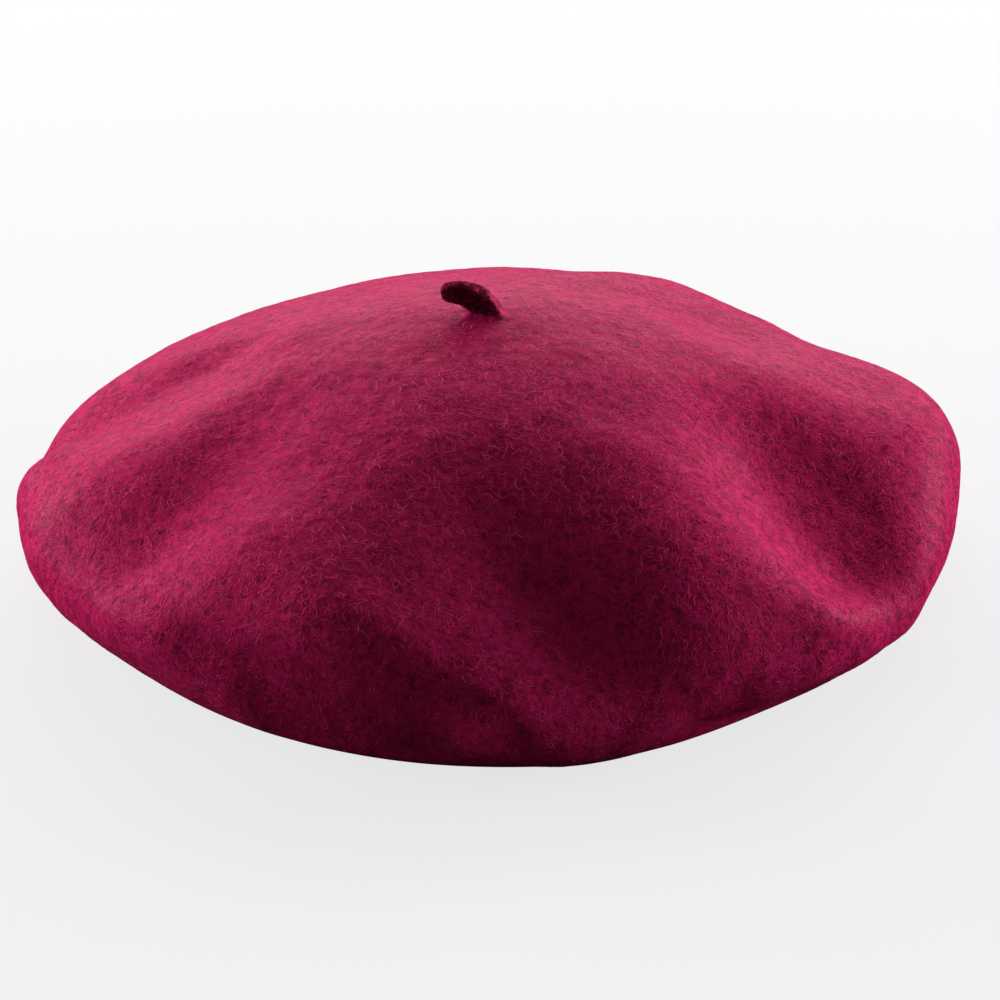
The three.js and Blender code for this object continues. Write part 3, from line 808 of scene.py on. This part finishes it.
def sweatband(material):
    """A strip with a butt join at the back and a punched opening in it for the cord."""
    notch_low, notch_high = CORD_HEIGHT - NOTCH_HALF_HEIGHT, CORD_HEIGHT + NOTCH_HALF_HEIGHT
    heights = np.concatenate([np.linspace(BAND_BOTTOM, notch_low, 14)[:-1],
                              np.linspace(notch_low, notch_high, 11)[:-1],
                              np.linspace(notch_high, BAND_TOP, 15)])
    across = np.clip((heights - CORD_HEIGHT) / NOTCH_HALF_HEIGHT, -1, 1)
    punched = (NOTCH_HALF_WIDTH - JOIN_HALF_WIDTH) * np.sqrt(1 - across**2)
    gap = np.degrees((JOIN_HALF_WIDTH + punched) / BAND_INNER)
    share = np.linspace(0, 1, 720)[:, None]
    angles = 180 + gap + share * (360 - 2 * gap)
    arc = np.radians(angles) * BAND_INNER
    pulled = np.exp(-((heights - FOOT_SEAM) / 0.8) ** 2) * np.cos(2 * math.pi * arc / FOOT_PITCH)
    radius = BAND_INNER + LEATHER / 2 + 0.06 * pulled
    flat = around(angles, radius, heights)
    radius = radius + 0.1 * unevenness(flat, 26, 41)
    band = sheet("sweatband_leather", around(angles, radius, heights), LEATHER, material)
    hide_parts("sweatband")
    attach(band, "hat")


def band_threads(material):
    foot = ring_of_stitches("sweatband_stitches", BAND_INNER, FOOT_SEAM, FOOT_PITCH, material, 0.15)
    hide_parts("sweatband_thread")
    low = CORD_HEIGHT + 2 * NOTCH_HALF_HEIGHT
    heights = np.linspace(low, BAND_TOP - 1.5, 7)
    sides = np.where(np.arange(len(heights)) % 2, 1.6, -1.6)
    corners = np.stack([sides, np.full(len(heights), BAND_INNER), heights], axis=-1)
    zigzag = stitches("sweatband_join_stitches", corners[:-1], corners[1:],
                      np.array([0.0, -1.0, 0.0]), material, "hat")
    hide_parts("sweatband_join_thread")


# ---- The drawstring ----
PLY_RADIUS = 0.36
PLY_OFFSET = 0.32


def cord_along(name, paths, up, material, body):
    """A two-ply cord along each path. All the paths have the same number of points."""
    strands = np.concatenate([plied(path, PLY_OFFSET, up) for path in paths])
    ups = np.broadcast_to(up, strands.shape)
    cord = make_tubes(name, strands, PLY_RADIUS, 7, ups, material)
    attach(cord, body)
    return cord


def drawstring_loop(material):
    """Once round behind the leather, with both ends turned in through the notch."""
    gap = 1.3  # degrees on each side of the notch
    ring = around(np.linspace(180 + gap, 540 - gap, 700), CORD_RING, CORD_HEIGHT)
    inside = np.array([0.9, BAND_INNER - 1.2, CORD_HEIGHT])
    share = np.linspace(0, 1, 8)[:-1, None]
    lead_in = inside * (-1, 1, 1) * (1 - share) + ring[0] * share
    lead_out = (ring[-1] * share + inside * (1 - share))[::-1]
    path = np.concatenate([lead_in, ring, lead_out])
    fine = curve_through(path, 3000)
    loop = cord_along("drawstring_cord", [fine], np.array([0.0, 0.0, 1.0]), material, "hat")
    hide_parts("drawstring_loop")


def coil(centre, radius, length, turns, steps):
    """A helix round the X axis."""
    share = np.linspace(0, 1, steps)
    turn = 2 * math.pi * turns * share
    return centre + np.stack([(share - 0.5) * length, radius * np.sin(turn),
                              radius * np.cos(turn)], axis=-1)


def drawstring_bow(material):
    """Two loops and two tails from a wrapped knot, hanging against the leather."""
    knot = joint_place("bow_swing")
    loop = [(0.3, 0, 0), (5, -0.5, -0.4), (11.5, -0.2, -2), (14.3, 0.2, -5.4), (10.5, 0.3, -6.2),
            (5, -0.3, -3), (0.4, 0, -0.4)]
    tail = [(0, 0, 0), (2.0, -0.5, -4), (4.0, 0.1, -7.4), (4.9, 0, -10.6)]
    paths = []
    for side in (-1, 1):
        for line in (loop, tail):
            paths.append(knot + curve_through(np.array(line) * (side, 1, 1), 160))
        end = knot + np.array(tail[-1]) * (side, 1, 1)
        paths.append(coil(end + (0, 0, 0.6), 0.55, 1.0, 1.6, 160))
    bow = cord_along("drawstring_bow_loops", paths, np.array([0.05, 1.0, 0.02]), material,
                     "drawstring_bow")
    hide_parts("drawstring_bow")
    cord_along("drawstring_knot", [coil(knot, 1.0, 2.2, 2.5, 160)], np.array([1.0, 0.05, 0.02]),
               material, "drawstring_bow")


# ---- The lining ----
SEAM_RADIUS = 80
SEAM_HEIGHT = 37.5
TIP_HEIGHT = 60
GATHERS = 56  # small folds where the side panel is eased into the tip's seam
LINING_TURN = full_turn(8 * GATHERS)


def lining_side(material):
    """The side panel: up behind the leather, then inwards to the tip's seam, where it is eased."""
    rows = 34
    hem = BAND_INNER + LEATHER + 0.35
    corners = [(hem + SATIN / 2, HEM_TOP + 2), (hem + 0.4, 27), (hem + 0.5, BAND_TOP + 0.6),
               (hem - 1.8, BAND_TOP + 2.5), (SEAM_RADIUS + 5, BAND_TOP + 4.9),
               (SEAM_RADIUS + 1.2, SEAM_HEIGHT - 0.9)]
    grid = turned_line(curve_through(corners, rows), LINING_TURN)
    eased = smooth(0.5, 0.95, np.linspace(0, 1, rows))
    wobble = 0.7 * unevenness(grid, 30, 51)
    folds = np.sin(GATHERS * LINING_TURN[:, None] + 2 * wobble)
    grid[..., 2] += eased * (0.35 * folds + 0.25 * wobble)
    side = sheet("lining_side_panel", grid, SATIN, material, wrap=True)
    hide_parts("lining_side")
    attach(side, "hat")


def lining_tip(material):
    """The round panel, slack between its seam and the crown, with gathers that fade inwards."""
    share = np.linspace(0, 0.9995, 61)  # the last row all but meets in the middle
    radius = SEAM_RADIUS * (1 - share)
    height = SEAM_HEIGHT + (TIP_HEIGHT - SEAM_HEIGHT) * (1 - (1 - share) ** 2.2) - SATIN / 2
    grid = turned_line(np.stack([radius, height], axis=-1), LINING_TURN)
    slack = smooth(0, 0.2, share)
    wobble = unevenness(grid, 55, 52)
    gathers = np.exp(-share * 7) * smooth(0, 0.03, share)
    folds = np.sin(GATHERS * LINING_TURN[:, None] + 2.5 * wobble)
    grid[..., 2] += gathers * 0.6 * folds + slack * (1.3 * wobble + 0.6 * unevenness(grid, 24, 53))
    tip = sheet("lining_tip_panel", grid, SATIN, material, wrap=True)
    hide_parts("lining_tip")
    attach(tip, "hat")


def lining_seam(material):
    seam = ring_of_stitches("lining_seam_stitches", SEAM_RADIUS + 0.4, SEAM_HEIGHT - 0.45, 3.2,
                            material)
    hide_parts("lining_seam_thread")


def stalk_tack(material):
    """Threads that cross under the crown, where the stalk is sewn down."""
    threads, reach = 8, 4.8
    low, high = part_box("stalk_tack")
    centre = np.array((low + high) / 2) / MM
    turns = np.linspace(0, math.pi, threads + 1)[:-1]
    out = reach * np.stack([np.cos(turns), np.sin(turns), np.zeros(threads)], axis=-1)
    middles = centre + np.linspace(-0.35, 0.35, threads)[:, None] * (0, 0, 1)
    tack = stitches("stalk_tack_threads", middles - out, middles + out,
                    np.array([0.0, 0.0, -1.0]), material, "hat", sink=0.2, arch=0.15, radius=0.4)
    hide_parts("stalk_tack")


# ---- The labels ----
def label(name, joint_name, degrees, width, length, material, thread):
    """A woven tab that hangs by its top edge. degrees is its angle
    round the band."""
    thickness = 0.4
    columns, rows = 45, 45
    x = np.linspace(-width / 2, width / 2, columns)[:, None]
    drop = np.linspace(0, length, rows)[None, :]
    curl = 1.1 * (drop / length) ** 2 + 0.25 * np.sin(drop * 0.5 + x * 0.3) * (drop / length)
    middle = np.stack(np.broadcast_arrays(x, curl, -drop), axis=-1)
    tab = sheet(name + "_woven", middle, thickness, material)
    tab.location = joint_place(joint_name) * MM
    tab.rotation_euler.z = math.radians(degrees)
    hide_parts(name)
    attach(tab, name)
    label_stitches(name, joint_place(joint_name), math.radians(degrees), width, thread)


def label_stitches(name, place, turn, width, thread):
    """The row of stitches that holds a label by its top edge."""
    count = round(width / 2.6)
    edges = np.linspace(-width / 2 + 0.8, width / 2 - 0.8, count + 1)
    starts = np.stack([edges[:-1] + 0.3, np.full(count, 0.2), np.full(count, -1.2)], axis=-1)
    ends = starts + (edges[1] - edges[0] - 0.6, 0, 0)
    spin = np.array([[math.cos(turn), math.sin(turn), 0], [-math.sin(turn), math.cos(turn), 0],
                     [0, 0, 1]])
    inwards = np.array([0.0, 1.0, 0.0]) @ spin
    stitches(name + "_stitches", starts @ spin + place, ends @ spin + place, inwards, thread,
             name, sink=0.15, arch=0.12, radius=0.13)


# ---- Stage, light and camera ----
def floor():
    """White paper to the camera, and dull to other rays so that it throws no light back up."""
    size = 6.0
    mesh = bpy.data.meshes.new("floor")
    corners = [(-size, -size, 0), (size, -size, 0), (size, size, 0), (-size, size, 0)]
    mesh.from_pydata(corners, [], [(0, 1, 2, 3)])
    look = Look("floor_paper")
    pale = look.node("ShaderNodeBsdfDiffuse", {"Color": colour(0.8, 0.8, 0.8)})
    glow = look.node("ShaderNodeEmission", {"Color": colour(1, 1, 1), "Strength": 0.95})
    seen = look.node("ShaderNodeMixShader", {0: 0.8, 1: pale.outputs[0], 2: glow.outputs[0]})
    dull = look.node("ShaderNodeBsdfDiffuse", {"Color": colour(0.10, 0.10, 0.10)})
    ray = look.node("ShaderNodeLightPath")
    both = look.node("ShaderNodeMixShader", {0: ray.outputs["Is Camera Ray"],
                                             1: dull.outputs[0], 2: seen.outputs[0]})
    look.node("ShaderNodeOutputMaterial", {"Surface": both.outputs[0]})
    mesh.materials.append(look.material)
    plane = bpy.data.objects.new("floor", mesh)
    bpy.context.scene.collection.objects.link(plane)


def area_light(name, degrees, elevation, size, power):
    """A soft panel in metres and watts that faces the beret from an angle and an elevation."""
    distance = 1.8
    aim = Vector((0, 0, 0.04))
    level = distance * math.cos(math.radians(elevation))
    place = aim + Vector(around(degrees, level, distance * math.sin(math.radians(elevation))))
    lamp = bpy.data.lights.new(name, "AREA")
    lamp.shape = "RECTANGLE"
    lamp.size, lamp.size_y = size
    lamp.energy = power
    thing = bpy.data.objects.new(name, lamp)
    thing.location = place
    thing.rotation_euler = (aim - place).to_track_quat("-Z", "Y").to_euler()
    thing.visible_camera = False
    bpy.context.scene.collection.objects.link(thing)


def lights():
    """Wide soft panels low behind the beret and on both sides of it, and faint ones in front."""
    area_light("back_low", 180, 8, (2.4, 0.4), 14.5)
    area_light("back_window", 180, 28, (2.2, 0.7), 32.5)
    area_light("ceiling", 180, 86, (1.6, 1.6), 2)
    area_light("left_wing", 245, 9, (1.5, 0.5), 51)
    area_light("right_wing", 115, 9, (1.5, 0.5), 50)
    area_light("left_front", 290, 9, (1.2, 0.5), 4.8)
    area_light("right_front", 70, 9, (1.2, 0.5), 2.6)


def surroundings():
    """White to the camera, and almost no light on the beret."""
    world = bpy.data.worlds.new("studio")
    world.use_nodes = True
    tree = world.node_tree
    tree.nodes.clear()
    ray = tree.nodes.new("ShaderNodeLightPath")
    air = tree.nodes.new("ShaderNodeBackground")
    air.inputs["Color"].default_value = colour(1, 1, 1)
    strength = tree.nodes.new("ShaderNodeMapRange")
    strength.inputs["To Min"].default_value = 0.015
    strength.inputs["To Max"].default_value = 1.0
    output = tree.nodes.new("ShaderNodeOutputWorld")
    tree.links.new(ray.outputs["Is Camera Ray"], strength.inputs["Value"])
    tree.links.new(strength.outputs["Result"], air.inputs["Strength"])
    tree.links.new(air.outputs[0], output.inputs["Surface"])
    bpy.context.scene.world = world


def camera():
    """A long lens in front of the beret, looking down on it."""
    lens = bpy.data.cameras.new("camera")
    lens.sensor_width = 36
    lens.lens = 158.2
    lens.shift_x, lens.shift_y = 0.0081, -0.0141
    thing = bpy.data.objects.new("camera", lens)
    elevation, distance = math.radians(27.7), 1.3
    target = Vector((0, 0.004, 0.025))
    back = Vector((0, -math.cos(elevation), math.sin(elevation)))
    thing.location = target + back * distance
    thing.rotation_euler = (-back).to_track_quat("-Z", "Y").to_euler()
    bpy.context.scene.collection.objects.link(thing)
    bpy.context.scene.camera = thing


# ---- Assembly ----
felt_wool = wool("wool_felt", WOOL, WOOL_DEEP, WOOL_LIGHT)
# The stalk's felt, with painted shade on its front and underside.
stalk_wool = wool("stalk_felt", WOOL, STALK_SHADE, WOOL_LIGHT, 0.95)
hide = leather()
lining_cloth = satin()
cotton = twisted_yarn("cotton_cord", colour(0.010, 0.004, 0.006), colour(0.045, 0.016, 0.022), 0.35)
sewing = twisted_yarn("sewing_thread", colour(0.10, 0.012, 0.03), colour(0.26, 0.04, 0.085), 0.2)
label_cloth = woven("woven_label", colour(0.75, 0.70, 0.62), colour(0.52, 0.46, 0.38))

outside = felt_outside()
felt_body(outside, felt_wool)
felt_fuzz(outside)
tail_rings = stalk_grid()
stalk(tail_rings, stalk_wool)
stalk_fuzz(tail_rings)
stalk_tack(sewing)
sweatband(hide)
band_threads(sewing)
drawstring_loop(cotton)
drawstring_bow(cotton)
lining_side(lining_cloth)
lining_tip(lining_cloth)
lining_seam(sewing)
label("size_label", "size_label_flip", 150, 16, 12, label_cloth, sewing)
label("care_label", "care_label_flip", 215, 22, 26, label_cloth, sewing)
floor()
lights()
surroundings()
camera()
bpy.context.scene.view_settings.view_transform = "Standard"
